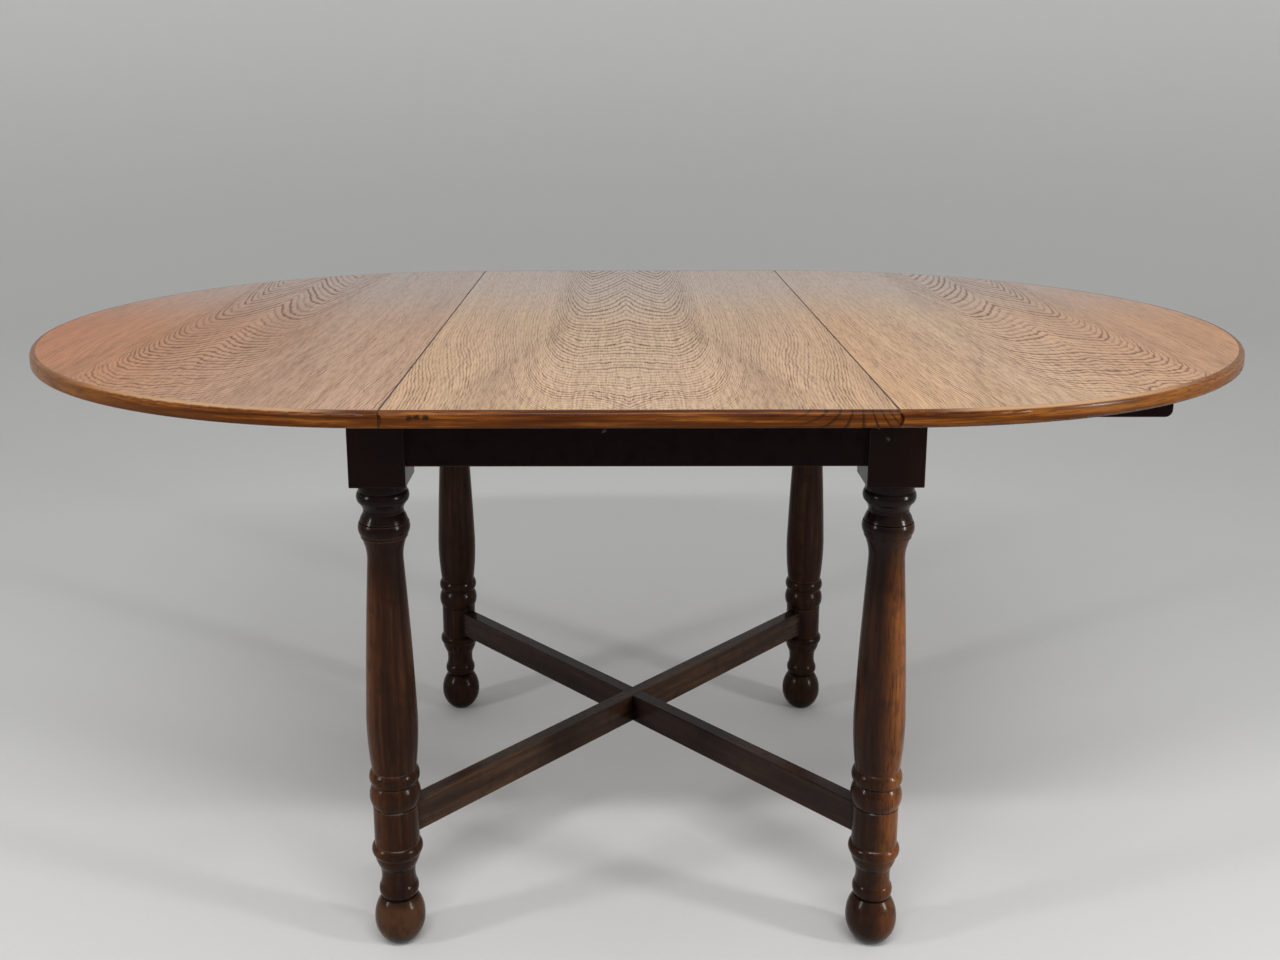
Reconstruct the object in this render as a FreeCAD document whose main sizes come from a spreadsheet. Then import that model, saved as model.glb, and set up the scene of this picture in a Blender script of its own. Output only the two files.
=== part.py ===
import FreeCAD, Part
import os
import Sketcher
from collections import namedtuple
from types import SimpleNamespace

# Extending table with half-round ends, turned legs and a loose leaf.
# Frame: millimetres, +X along the table, +Y from front to back, +Z up, origin on the floor
# under the middle of the table. The ends stand drawn apart with the leaf between them.

# Driving dimensions
SIZES = {
    # Top
    "table_height": 740,
    "top_thickness": 18,
    "end_radius": 534,
    "leaf_width": 517,
    "joint_gap": 0.5,
    "lipping_width": 7,
    "tongue_margin": 2,
    "joint_arris_width": 0.6,
    "glue_line": 0.1,
    # Legs
    "leg_spread_long": 595,
    "leg_spread_cross": 642,
    "block_size": 66,
    "block_height": 117,
    # Rails
    "rail_depth": 92,
    "rail_thickness": 22,
    "rail_setback": 3,
    "tenon_tip_gap": 12,
    "tenon_thickness": 8,
    "tenon_shoulder": 12,
    # Stretchers
    "stretcher_width": 21,
    "stretcher_depth": 40,
    "stretcher_seat": 9,
    # Cross bearers
    "bearer_spread": 184,
    "bearer_thickness": 22,
    "bearer_lift": 10,
    "stub_length": 10,
    "stub_thickness": 10,
    "stub_shoulder": 11,
    # Runners
    "runner_width": 25,
    "runner_depth": 55,
    "tail_relief": 18,
    "head_round": 9,
    "runner_block_gap": 20,
    "runner_spacing": 6,
    "runner_rim_margin": 65.5,
    "inner_runner_setback": 38,
    "tail_place": 3,
    "shoulder_clearance": 10,
    "slide_gap": 0.5,
    # Stop pegs
    "peg_diameter": 8,
    "peg_place": 23.5,
    "peg_drop": 10,
    # Screws that hold the runners to the ends
    "screw_diameter": 4.5,
    "screw_head_diameter": 9,
    "screw_head_height": 3,
    "screw_sink": 25,
    "screw_bite": 12,
    "screw_margin": 45,
    "screw_head_gap": 0.75,
    # Rounding of the arrises on blocks, rails and stretchers
    "arris_radius": 1.5,
    # Cuts run this far past the faces that they open
    "overrun": 5,
}

# Turned outline of a leg from the floor up to its block. Each row gives the height as a share of
# the turned length, the radius as a share of half the block, and how far the curve to the next
# row swells (or, below zero, hollows) as a share of half the block.
TURNING_SHARES = (
    (0.0000, 0.420, 0.158),
    (0.0570, 0.960, 0.072),
    (0.1030, 0.680, 0.000),
    (0.1050, 0.625, 0.000),
    (0.1085, 0.690, 0.066),
    (0.1345, 0.680, -0.045),
    (0.1730, 0.682, 0.028),
    (0.2018, 0.866, 0.000),
    (0.2030, 0.900, 0.085),
    (0.2265, 0.845, 0.000),
    (0.3088, 0.845, 0.000),
    (0.3113, 0.805, 0.000),
    (0.3138, 0.855, 0.108),
    (0.3585, 0.835, 0.000),
    (0.3605, 0.835, 0.112),
    (0.3920, 0.826, 0.036),
    (0.5060, 0.948, 0.022),
    (0.8360, 0.655, -0.060),
    (0.8870, 0.815, 0.000),
    (0.8882, 0.846, 0.000),
    (0.8943, 0.852, 0.000),
    (0.8955, 0.882, 0.046),
    (0.9185, 0.893, 0.000),
    (0.9195, 0.850, 0.000),
    (0.9207, 0.872, 0.014),
    (0.9385, 0.724, 0.000),
    (0.9465, 0.724, -0.012),
    (0.9600, 0.868, 0.000),
    (0.9612, 0.898, 0.062),
    (0.9830, 0.868, 0.000),
    (1.0000, 0.868, 0.000),
)
# Height of the stretchers' middle up the turned length
STRETCHER_PLACE_SHARE = 0.268
# Rounding of the lipping's upper and lower edge, as shares of its width
EDGE_ABOVE_SHARE = 0.80
EDGE_BELOW_SHARE = 0.43
# How far a tongue swells, as a share of its height
TONGUE_SWELL_SHARE = 0.264
# Rise of a quarter circle's arc above its chord, as a share of its radius
QUARTER_RISE_SHARE = 1 - 0.5 ** 0.5
HALF_TURN = 180
FULL_TURN = 360
POINT_MATCH = 1e-6

# Sheet that holds the driving dimensions
doc = FreeCAD.newDocument("extending_table")
sheet = doc.addObject("Spreadsheet::Sheet", "Sizes")
for row, (alias, number) in enumerate(SIZES.items(), start=1):
    sheet.set(f"A{row}", alias)
    sheet.set(f"B{row}", str(number))
    sheet.setAlias(f"B{row}", alias)
doc.recompute()


class Length:
    """A number together with the sheet formula that gives it."""

    def __init__(self, value, formula):
        self.value = value
        self.formula = formula

    def __add__(self, other):
        other = as_length(other)
        return Length(self.value + other.value, f"({self.formula} + {other.formula})")

    def __sub__(self, other):
        other = as_length(other)
        return Length(self.value - other.value, f"({self.formula} - {other.formula})")

    def __mul__(self, other):
        other = as_length(other)
        return Length(self.value * other.value, f"({self.formula} * {other.formula})")

    def __truediv__(self, other):
        other = as_length(other)
        return Length(self.value / other.value, f"({self.formula} / {other.formula})")

    def __neg__(self):
        return Length(-self.value, f"(0 - {self.formula})")

    def root(self):
        return Length(self.value ** 0.5, f"sqrt({self.formula})")


def as_length(item):
    if isinstance(item, Length):
        return item
    return Length(float(item), f"({float(item)!r})")


size = SimpleNamespace(**{alias: Length(float(sheet.get(alias)), f"Sizes.{alias}") for alias in SIZES})
ZERO = as_length(0)

# Top
top_underside = size.table_height - size.top_thickness
half_leaf = size.leaf_width / 2
end_edge = half_leaf + size.joint_gap
board_radius = size.end_radius - size.lipping_width
rim_start = board_radius + size.glue_line
strip_reach = (board_radius * board_radius - size.lipping_width * size.lipping_width).root()
edge_above = size.lipping_width * EDGE_ABOVE_SHARE
edge_below = size.lipping_width * EDGE_BELOW_SHARE
tongue_low = top_underside + size.tongue_margin
tongue_high = size.table_height - size.tongue_margin
tongue_swell = (tongue_high - tongue_low) * TONGUE_SWELL_SHARE
tongue_reach = size.end_radius - edge_above / 2

# Legs
half_block = size.block_size / 2
leg_long = size.leg_spread_long / 2
leg_cross = size.leg_spread_cross / 2
leg_diagonal = (leg_long * leg_long + leg_cross * leg_cross).root()
turned_length = top_underside - size.block_height

# Rails
rail_underside = top_underside - size.rail_depth
rail_inset = half_block - size.rail_setback - size.rail_thickness / 2
rail_inner_face = leg_cross + rail_inset - size.rail_thickness / 2
tenon_length = half_block + rail_inset - size.tenon_thickness / 2 - size.tenon_tip_gap
tenon_height = size.rail_depth - size.tenon_shoulder * 2
tenon_top = top_underside - size.tenon_shoulder

# Stretchers
stretcher_middle = turned_length * STRETCHER_PLACE_SHARE
stretcher_top = stretcher_middle + size.stretcher_depth / 2
stretcher_underside = stretcher_middle - size.stretcher_depth / 2

# Cross bearers
bearer_place = size.bearer_spread / 2
bearer_depth = size.rail_depth - size.bearer_lift
bearer_underside = top_underside - bearer_depth
stub_height = bearer_depth - size.stub_shoulder * 2
stub_underside = bearer_underside + size.stub_shoulder

# Runners
tail_depth = size.runner_depth - size.tail_relief
runner_underside = top_underside - size.runner_depth
tail_top = runner_underside + tail_depth
outer_front = leg_cross - half_block - size.runner_block_gap
outer_runner_place = outer_front - size.runner_width / 2
inner_runner_place = outer_runner_place - size.runner_width - size.runner_spacing
head_circle = size.end_radius - size.runner_rim_margin
outer_head = end_edge + (head_circle * head_circle - outer_front * outer_front).root()
inner_head = outer_head - size.inner_runner_setback
runner_shoulder = bearer_place + size.bearer_thickness / 2 + end_edge + size.shoulder_clearance
window_width = size.runner_width + size.slide_gap * 2
window_top = tail_top + size.slide_gap
window_height = tail_depth + size.slide_gap * 2
notch_depth = size.runner_depth + size.slide_gap
peg_middle = size.tail_place + size.peg_place

# Screws
screw_places = (runner_shoulder + size.screw_margin, inner_head - size.screw_margin)
screw_seat = runner_underside + size.screw_sink
screw_hole = size.screw_diameter / 2 + size.glue_line
screw_length = size.runner_depth - size.screw_sink + size.screw_bite


def new_body(label, x=ZERO, y=ZERO, z=ZERO):
    body = doc.addObject("PartDesign::Body", label)
    body.Label = label
    for axis, place in zip("xyz", (x, y, z)):
        body.setExpression(f"Placement.Base.{axis}", place.formula)
    return body


def new_sketch(body, name, plane, level=ZERO):
    """Empty sketch on one of the body's own planes, moved along its normal by the level."""
    sketch = body.newObject("Sketcher::SketchObject", name)
    support = [item for item in body.Origin.OriginFeatures if item.Role == plane][0]
    sketch.AttachmentSupport = (support, [""])
    sketch.MapMode = "FlatFace"
    sketch.setExpression("AttachmentOffset.Base.z", level.formula)
    return sketch


def bind(sketch, kind, target, length):
    index = sketch.addConstraint(Sketcher.Constraint(kind, *target, length.value))
    sketch.setExpression(f"Constraints[{index}]", length.formula)


def draw_loop(sketch, corners):
    """Closed outline. A corner is (across, up) or (across, up, rise): the rise is how far the side
    that leaves the corner swells to the right of its direction, as an arc."""
    ends = []
    for here, after in zip(corners, corners[1:] + corners[:1]):
        start = FreeCAD.Vector(here[0].value, here[1].value, 0)
        stop = FreeCAD.Vector(after[0].value, after[1].value, 0)
        rise = here[2] if len(here) > 2 else ZERO
        if rise.value == 0:
            side = sketch.addGeometry(Part.LineSegment(start, stop))
            ends.append((side, 1, 2))
            continue
        across = after[0] - here[0]
        up = after[1] - here[1]
        chord = (across * across + up * up).root()
        swell = FreeCAD.Vector(up.value, -across.value, 0) * (rise.value / chord.value)
        side = sketch.addGeometry(Part.Arc(start, (start + stop) / 2 + swell, stop))
        forward = sketch.getPoint(side, 1).isEqual(start, POINT_MATCH)
        ends.append((side, 1, 2) if forward else (side, 2, 1))
        depth = rise if rise.value > 0 else -rise
        bind(sketch, "Radius", (side,), (chord * chord / 4 + depth * depth) / (depth * 2))
    for (side, _, stop), (next_side, next_start, _) in zip(ends, ends[1:] + ends[:1]):
        sketch.addConstraint(Sketcher.Constraint("Coincident", side, stop, next_side, next_start))
    for (side, start, _), corner in zip(ends, corners):
        bind(sketch, "DistanceX", (-1, 1, side, start), corner[0])
        bind(sketch, "DistanceY", (-1, 1, side, start), corner[1])


Round = namedtuple("Round", "x y radius")


def draw_round(sketch, ring):
    centre = FreeCAD.Vector(ring.x.value, ring.y.value, 0)
    edge = sketch.addGeometry(Part.Circle(centre, FreeCAD.Vector(0, 0, 1), ring.radius.value))
    bind(sketch, "Radius", (edge,), ring.radius)
    bind(sketch, "DistanceX", (-1, 1, edge, 3), ring.x)
    bind(sketch, "DistanceY", (-1, 1, edge, 3), ring.y)


def rectangle(left, right, low, high):
    return [(left, low), (right, low), (right, high), (left, high)]


def strip(direction, start, stop, width):
    """Corners of a straight strip along a direction through the origin, from start to stop."""
    along, across = direction
    half = width / 2
    return [
        (along * start + across * half, across * start - along * half),
        (along * stop + across * half, across * stop - along * half),
        (along * stop - across * half, across * stop + along * half),
        (along * start - across * half, across * start + along * half),
    ]


def extrude(kind, body, name, plane, level, depth, outlines):
    sketch = new_sketch(body, f"{name}_outline", plane, level)
    for outline in outlines:
        if isinstance(outline, Round):
            draw_round(sketch, outline)
        else:
            draw_loop(sketch, outline)
    feature = body.newObject(kind, name)
    feature.Profile = (sketch, [""])
    feature.setExpression("Length", depth.formula)


def pad(body, name, plane, level, depth, *outlines):
    extrude("PartDesign::Pad", body, name, plane, level, depth, outlines)


def pocket(body, name, plane, level, depth, *outlines):
    extrude("PartDesign::Pocket", body, name, plane, level, depth, outlines)


def ease(body, name, picked):
    """Round over those edges of the body so far that the test picks."""
    doc.recompute()
    base = body.Tip
    edges = [f"Edge{number}" for number, edge in enumerate(base.Shape.Edges, start=1) if picked(edge)]
    feature = body.newObject("PartDesign::Fillet", name)
    feature.Base = (base, edges)
    feature.setExpression("Radius", size.arris_radius.formula)


def revolve(body, name, loop, angle, midplane):
    sketch = new_sketch(body, f"{name}_outline", "XZ_Plane")
    draw_loop(sketch, loop)
    feature = body.newObject("PartDesign::Revolution", name)
    feature.Profile = (sketch, [""])
    feature.ReferenceAxis = (sketch, ["V_Axis"])
    feature.Angle = angle
    feature.Midplane = midplane


def turned_outline():
    outline = [(ZERO, ZERO)]
    for height_share, radius_share, swell_share in TURNING_SHARES:
        outline.append((half_block * radius_share, turned_length * height_share, half_block * swell_share))
    outline.append((ZERO, turned_length))
    return outline


def below_the_top(edge):
    """Picks the block's upright edges and those round its underside, which run from corner to corner."""
    ends = [vertex.Point for vertex in edge.Vertexes]
    corners = all(abs(abs(reach) - half_block.value) < POINT_MATCH for end in ends for reach in end[:2])
    return corners and min(end.z for end in ends) < top_underside.value - POINT_MATCH


def leg(label, side, depth_side):
    """Turned leg with its block, two rail mortises and the stretcher's mortise."""
    body = new_body(label, leg_long * side, leg_cross * depth_side)
    revolve(body, f"{label}_turning", turned_outline(), FULL_TURN, False)
    block = rectangle(-half_block, half_block, -half_block, half_block)
    pad(body, f"{label}_block", "XY_Plane", turned_length, size.block_height, block)
    ease(body, f"{label}_block_arrises", below_the_top)
    tenon_near = rail_inset - size.tenon_thickness / 2
    tenon_far = rail_inset + size.tenon_thickness / 2
    mouth = half_block + size.overrun
    root = half_block - tenon_length
    long_mortise = rectangle(mouth * -side, root * -side, tenon_near * depth_side, tenon_far * depth_side)
    cross_mortise = rectangle(tenon_near * side, tenon_far * side, mouth * -depth_side, root * -depth_side)
    pocket(body, f"{label}_rail_mortises", "XY_Plane", tenon_top, tenon_height, long_mortise, cross_mortise)
    inward = (leg_long / leg_diagonal * -side, leg_cross / leg_diagonal * -depth_side)
    slot = strip(inward, size.stretcher_seat, mouth, size.stretcher_width)
    pocket(body, f"{label}_stretcher_mortise", "XY_Plane", stretcher_top, size.stretcher_depth, slot)


def rail(body, reach, oblong):
    """Board between two blocks with a tenon at each end. The oblong function lays a rectangle out
    along the rail, from its ends and its sides."""
    half_thick = size.rail_thickness / 2
    half_tenon = size.tenon_thickness / 2
    tip = reach + tenon_length
    pad(body, f"{body.Label}_board", "XY_Plane", ZERO, size.rail_depth,
        oblong(-reach, reach, -half_thick, half_thick))
    ease(body, f"{body.Label}_arrises",
         lambda edge: edge.Length > reach.value and edge.BoundBox.ZMax < POINT_MATCH)
    pad(body, f"{body.Label}_tenons", "XY_Plane", size.tenon_shoulder, tenon_height,
        oblong(-tip, tip, -half_tenon, half_tenon))


def long_rail(label, depth_side):
    """Front or back rail, with sockets in its inner face for the bearers' stubs."""
    body = new_body(label, ZERO, (leg_cross + rail_inset) * depth_side, rail_underside)
    rail(body, leg_long - half_block, rectangle)
    inner_face = size.rail_thickness / 2 * -depth_side
    root = inner_face + size.stub_length * depth_side
    mouth = inner_face - size.overrun * depth_side
    half_stub = size.stub_thickness / 2
    sockets = [rectangle(place - half_stub, place + half_stub, root, mouth)
               for place in (-bearer_place, bearer_place)]
    socket_top = stub_underside + stub_height - rail_underside
    pocket(body, f"{label}_sockets", "XY_Plane", socket_top, stub_height, *sockets)


def end_rail(label, side):
    """Left or right rail, with notches in its top edge that let its own end's runners through."""
    body = new_body(label, (leg_long + rail_inset) * side, ZERO, rail_underside)
    rail(body, leg_cross - half_block, lambda low, high, left, right: rectangle(left, right, low, high))
    past = size.rail_thickness / 2 + size.overrun
    pocket(body, f"{label}_notches", "XY_Plane", size.rail_depth, notch_depth, *runner_openings(side, past))


def runner_places(side):
    """Where one end's outer and inner runners lie. The two ends' sets are half a turn apart."""
    return (outer_runner_place * -side, inner_runner_place * side)


def runner_openings(side, past):
    """Outlines of the openings for one end's runners, cut past both faces of a board."""
    half_window = window_width / 2
    return [rectangle(-past, past, place - half_window, place + half_window) for place in runner_places(side)]


def bearer(label, side):
    """Cross bearer: closed windows guide its own end's runners, open slots pass the other end's."""
    body = new_body(label, bearer_place * side)
    half_thick = size.bearer_thickness / 2
    board = rectangle(-half_thick, half_thick, -rail_inner_face, rail_inner_face)
    pad(body, f"{label}_board", "XY_Plane", bearer_underside, bearer_depth, board)
    tip = rail_inner_face + size.stub_length
    stub = rectangle(-size.stub_thickness / 2, size.stub_thickness / 2, -tip, tip)
    pad(body, f"{label}_stubs", "XY_Plane", stub_underside, stub_height, stub)

    past = half_thick + size.overrun
    slot_depth = window_top - bearer_underside + size.overrun
    pocket(body, f"{label}_windows", "XY_Plane", window_top, window_height, *runner_openings(side, past))
    pocket(body, f"{label}_slots", "XY_Plane", window_top, slot_depth, *runner_openings(-side, past))


def stretcher(label, side, notch_top):
    """Bar from corner to corner, notched to half its depth where it crosses the other one."""
    body = new_body(label)
    direction = (leg_long / leg_diagonal, leg_cross / leg_diagonal * side)
    crossing = (leg_long / leg_diagonal, leg_cross / leg_diagonal * -side)
    reach = leg_diagonal - size.stretcher_seat
    bar = strip(direction, -reach, reach, size.stretcher_width)
    pad(body, f"{label}_bar", "XY_Plane", stretcher_underside, size.stretcher_depth, bar)
    ease(body, f"{label}_arrises", lambda edge: edge.Length > reach.value)
    notch = strip(crossing, -size.stretcher_width, size.stretcher_width, size.stretcher_width)
    pocket(body, f"{label}_notch", "XY_Plane", notch_top, size.stretcher_depth / 2 + size.overrun, notch)


def runner(label, side, place, head):
    """Runner with a deep head under its end of the top and a shallow tail for the bearers."""
    body = new_body(label, ZERO, place)
    profile = [
        (size.tail_place * side, runner_underside),
        ((head - size.head_round) * side, runner_underside, size.head_round * QUARTER_RISE_SHARE * side),
        (head * side, runner_underside + size.head_round),
        (head * side, top_underside),
        (runner_shoulder * side, top_underside),
        (runner_shoulder * side, tail_top),
        (size.tail_place * side, tail_top),
    ]
    pad(body, f"{label}_profile", "XZ_Plane", -(size.runner_width / 2), size.runner_width, profile)
    peg_hole = Round(peg_middle * side, ZERO, size.peg_diameter / 2 + size.glue_line)
    pocket(body, f"{label}_peg_hole", "XY_Plane", tail_top + size.overrun,
           tail_depth + size.overrun * 2, peg_hole)
    sinks = [Round(x * side, ZERO, size.screw_head_diameter / 2 + size.screw_head_gap) for x in screw_places]
    pocket(body, f"{label}_screw_sinks", "XY_Plane", screw_seat, size.screw_sink + size.overrun, *sinks)
    holes = [Round(x * side, ZERO, screw_hole) for x in screw_places]
    pocket(body, f"{label}_screw_holes", "XY_Plane", top_underside + size.overrun,
           size.runner_depth + size.overrun * 2, *holes)


def stop_peg(label, side, place):
    """Peg through a runner's tail; it stands below the tail and meets the bearer at full stretch."""
    peg = doc.addObject("Part::Cylinder", label)
    peg.Label = label
    peg.setExpression("Radius", (size.peg_diameter / 2).formula)
    peg.setExpression("Height", (tail_depth + size.peg_drop).formula)
    for axis, way in zip("xyz", (peg_middle * side, place, runner_underside - size.peg_drop)):
        peg.setExpression(f"Placement.Base.{axis}", way.formula)


def runner_screws(label, side):
    """The screws of one end, which stand apart: heads up inside the runners, tips in the board."""
    body = new_body(label)
    body.AllowCompound = True
    spots = [(x * side, y) for x in screw_places for y in runner_places(side)]
    heads = [Round(x, y, size.screw_head_diameter / 2) for x, y in spots]
    pad(body, f"{label}_heads", "XY_Plane", screw_seat - size.screw_head_height,
        size.screw_head_height, *heads)
    shanks = [Round(x, y, size.screw_diameter / 2) for x, y in spots]
    pad(body, f"{label}_shanks", "XY_Plane", screw_seat, screw_length, *shanks)


def edge_section(inner, side):
    """Section of the lipping: square inside, rounded over above and eased below on the outside."""
    outer = size.end_radius
    return [
        (inner * side, top_underside),
        ((outer - edge_below) * side, top_underside, edge_below * QUARTER_RISE_SHARE * side),
        (outer * side, top_underside + edge_below),
        (outer * side, size.table_height - edge_above, edge_above * QUARTER_RISE_SHARE * side),
        ((outer - edge_above) * side, size.table_height),
        (inner * side, size.table_height),
    ]


def tongue_section(face):
    """Section of the rounded tongue, which swells along +X from an upright face."""
    return [(face, tongue_low, tongue_swell), (face, tongue_high)]


def joint_strip(label, back, face, reach, x=ZERO):
    """Strip along a joint edge. Its face swells along +X: a tongue where the strip lies on the -X
    side of its face, and a matching groove where it lies on the +X side."""
    body = new_body(label, x)
    section = [
        (back, top_underside),
        (face, top_underside),
        (face, tongue_low, tongue_swell),
        (face, tongue_high),
        (face, size.table_height),
        (back, size.table_height),
    ]
    pad(body, f"{label}_profile", "XZ_Plane", -reach, reach * 2, section)
    joint_arris(body, "arris", face, 1 if back.value > face.value else -1)


def joint_arris(body, name, face, inward):
    """Ease the upper edge of a joint face. Inward is 1 where the wood lies on the +X side, else -1."""
    past = size.end_radius + size.overrun
    outside = face - size.overrun * inward
    inside = face + (size.joint_arris_width + size.overrun) * inward
    above = size.table_height + size.overrun
    below = size.table_height - size.joint_arris_width - size.overrun
    pocket(body, f"{body.Label}_{name}", "XZ_Plane", past, past * 2,
           [(outside, below), (inside, above), (outside, above)])


def tongue_tab(body, name, face, inner, depth_side):
    """Carry the tongue on across the lipping at the front or at the back."""
    start = -tongue_reach if depth_side > 0 else inner
    pad(body, f"{body.Label}_{name}", "XZ_Plane", start, tongue_reach - inner, tongue_section(face))


def groove(body, face):
    """Cut the groove for a tongue through the lipping, from front to back."""
    past = size.end_radius + size.overrun
    pocket(body, f"{body.Label}_groove", "XZ_Plane", past, past * 2, tongue_section(face))


def half_round_end(name, side):
    """One end of the top: veneered board, bent rim and the strip along its straight edge."""
    board = new_body(f"{name}_board", end_edge * side)
    start = size.lipping_width * side
    rise = (board_radius - size.lipping_width) * side
    pad(board, f"{name}_board_half_round", "XY_Plane", top_underside, size.top_thickness,
        [(start, -strip_reach, rise), (start, strip_reach)])
    pilots = [Round((x - end_edge) * side, y, screw_hole) for x in screw_places for y in runner_places(side)]
    pocket(board, f"{name}_board_pilots", "XY_Plane", top_underside + size.screw_bite,
           size.screw_bite + size.overrun, *pilots)

    rim = new_body(f"{name}_rim", end_edge * side)
    revolve(rim, f"{name}_rim_bend", edge_section(rim_start, side), HALF_TURN, True)
    if side < 0:
        tongue_tab(rim, "front_tongue", ZERO, rim_start, -1)
        tongue_tab(rim, "back_tongue", ZERO, rim_start, 1)
    else:
        groove(rim, ZERO)
    joint_arris(rim, "arris", ZERO, side)
    joint_strip(f"{name}_edge_strip", start, ZERO, strip_reach, end_edge * side)

    for kind, place, head in zip(("outer", "inner"), runner_places(side), (outer_head, inner_head)):
        runner(f"{name}_{kind}_runner", side, place, head)
        stop_peg(f"{name}_{kind}_stop_peg", side, place)
    runner_screws(f"{name}_runner_screws", side)


def leaf():
    """Loose leaf: board, straight lipping front and back, grooved strip left and tongued strip right."""
    board_edge = half_leaf - size.lipping_width
    board = new_body("leaf_board")
    pad(board, "leaf_board_panel", "XY_Plane", top_underside, size.top_thickness,
        rectangle(-board_edge, board_edge, -board_radius, board_radius))
    joint_strip("leaf_left_strip", -board_edge, -half_leaf, board_radius)
    joint_strip("leaf_right_strip", board_edge, half_leaf, board_radius)
    for name, depth_side in (("front", -1), ("back", 1)):
        lipping = new_body(f"leaf_{name}_lipping")
        pad(lipping, f"leaf_{name}_moulding", "YZ_Plane", -half_leaf, size.leaf_width,
            edge_section(board_radius, depth_side))
        groove(lipping, -half_leaf)
        tongue_tab(lipping, "tongue", half_leaf, board_radius, depth_side)
        joint_arris(lipping, "left_arris", -half_leaf, 1)
        joint_arris(lipping, "right_arris", half_leaf, -1)


# Base
for depth_name, depth_side in (("front", -1), ("back", 1)):
    for side_name, side in (("left", -1), ("right", 1)):
        leg(f"leg_{depth_name}_{side_name}", side, depth_side)
    long_rail(f"rail_{depth_name}", depth_side)
for side_name, side in (("left", -1), ("right", 1)):
    end_rail(f"rail_{side_name}", side)
    bearer(f"bearer_{side_name}", side)
stretcher("stretcher_lower_notched", 1, stretcher_middle)
stretcher("stretcher_upper_notched", -1, stretcher_top + size.overrun)

# Top
half_round_end("left_end", -1)
half_round_end("right_end", 1)
leaf()

# Every object has to be sound, and every cut has to take wood away
doc.recompute()
for item in doc.Objects:
    if "Invalid" in item.State or "Error" in item.State:
        raise RuntimeError(f"{item.Label} failed: {item.State}")
    cuts = item.TypeId in ("PartDesign::Pocket", "PartDesign::Fillet")
    if cuts and item.Shape.Volume >= item.BaseFeature.Shape.Volume:
        raise RuntimeError(f"{item.Label} cuts nothing")
pieces = doc.findObjects("PartDesign::Body") + doc.findObjects("Part::Cylinder")
for piece in pieces:
    wanted = 2 * len(screw_places) if piece.Label.endswith("screws") else 1
    if piece.Shape.isNull() or not piece.Shape.isValid() or len(piece.Shape.Solids) != wanted:
        raise RuntimeError(f"{piece.Label} is not sound: {len(piece.Shape.Solids)} solids")

# One file for each piece
os.makedirs("parts", exist_ok=True)
for piece in pieces:
    piece.Shape.exportStep(f"parts/{piece.Label}.step")
    print(f"{piece.Label}: {piece.Shape.Volume:.0f} cubic mm")
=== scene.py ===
# %% [markdown]
# # Dressing an extending table
# The table has two half-round ends that slide apart around a loose leaf, on a dark base with turned
# legs. Its solids come from CAD, already in their places and in metres, so this lesson starts by
# loading them as a fixed frame. The alternative, modelling everything again in Blender, would risk
# wrong sizes. What is left to do here is finish: grain, polish, wear, light and a camera.

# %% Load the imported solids
import math

import bmesh
import bpy
from mathutils import Matrix, Vector


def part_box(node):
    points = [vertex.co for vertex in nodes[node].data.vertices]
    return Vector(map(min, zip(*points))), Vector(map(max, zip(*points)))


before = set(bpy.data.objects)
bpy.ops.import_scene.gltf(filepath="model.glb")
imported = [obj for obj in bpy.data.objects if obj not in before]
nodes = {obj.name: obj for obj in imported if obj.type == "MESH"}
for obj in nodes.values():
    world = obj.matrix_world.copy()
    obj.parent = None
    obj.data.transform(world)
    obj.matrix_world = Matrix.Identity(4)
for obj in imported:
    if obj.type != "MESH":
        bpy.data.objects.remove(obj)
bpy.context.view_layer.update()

# %% [markdown]
# ## The camera
# A photograph can be matched by eye, or by solving for the camera from points whose places are
# known. These numbers were solved from the joints of the top, the leg blocks and the ball feet. The
# frame was cropped after it was taken, so the lens axis isn't in the middle of it, and a small shift
# says by how much.

# %% Camera
PHOTO_WIDTH = 1280
PHOTO_HEIGHT = 960
FOCAL_PIXELS = 1287.2
LENS_AXIS_PIXEL = (609.4, 380.0)
CAMERA_PLACE = Vector((-0.01882, -1.76914, 1.04159))
PITCH = math.radians(12.33)
YAW = math.radians(-0.46)
ROLL = math.radians(-0.19)

forward = Vector((math.sin(YAW) * math.cos(PITCH), math.cos(YAW) * math.cos(PITCH),
                  -math.sin(PITCH)))
level_right = Vector((math.cos(YAW), -math.sin(YAW), 0))
level_up = level_right.cross(forward)
right = level_right * math.cos(ROLL) + level_up * math.sin(ROLL)
up = level_up * math.cos(ROLL) - level_right * math.sin(ROLL)
turn = Matrix((right, up, -forward)).transposed().to_4x4()

camera = bpy.data.objects.new("camera", bpy.data.cameras.new("camera"))
bpy.context.scene.collection.objects.link(camera)
camera.matrix_world = Matrix.Translation(CAMERA_PLACE) @ turn
camera.data.sensor_width = 36
camera.data.lens = camera.data.sensor_width * FOCAL_PIXELS / PHOTO_WIDTH
camera.data.shift_x = (PHOTO_WIDTH / 2 - LENS_AXIS_PIXEL[0]) / PHOTO_WIDTH
camera.data.shift_y = (LENS_AXIS_PIXEL[1] - PHOTO_HEIGHT / 2) / PHOTO_WIDTH
bpy.context.scene.camera = camera
print(f"lens {camera.data.lens:.1f} mm, shift {camera.data.shift_x:.3f}, {camera.data.shift_y:.3f}")

# %% [markdown]
# ## A helper for finishes
# Every finish below is a small recipe of shader nodes. Wiring nodes one link at a time makes long,
# dull code, so this class holds one material and offers a short call for each kind of node. A value
# may be a plain number or what another node puts out.


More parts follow.
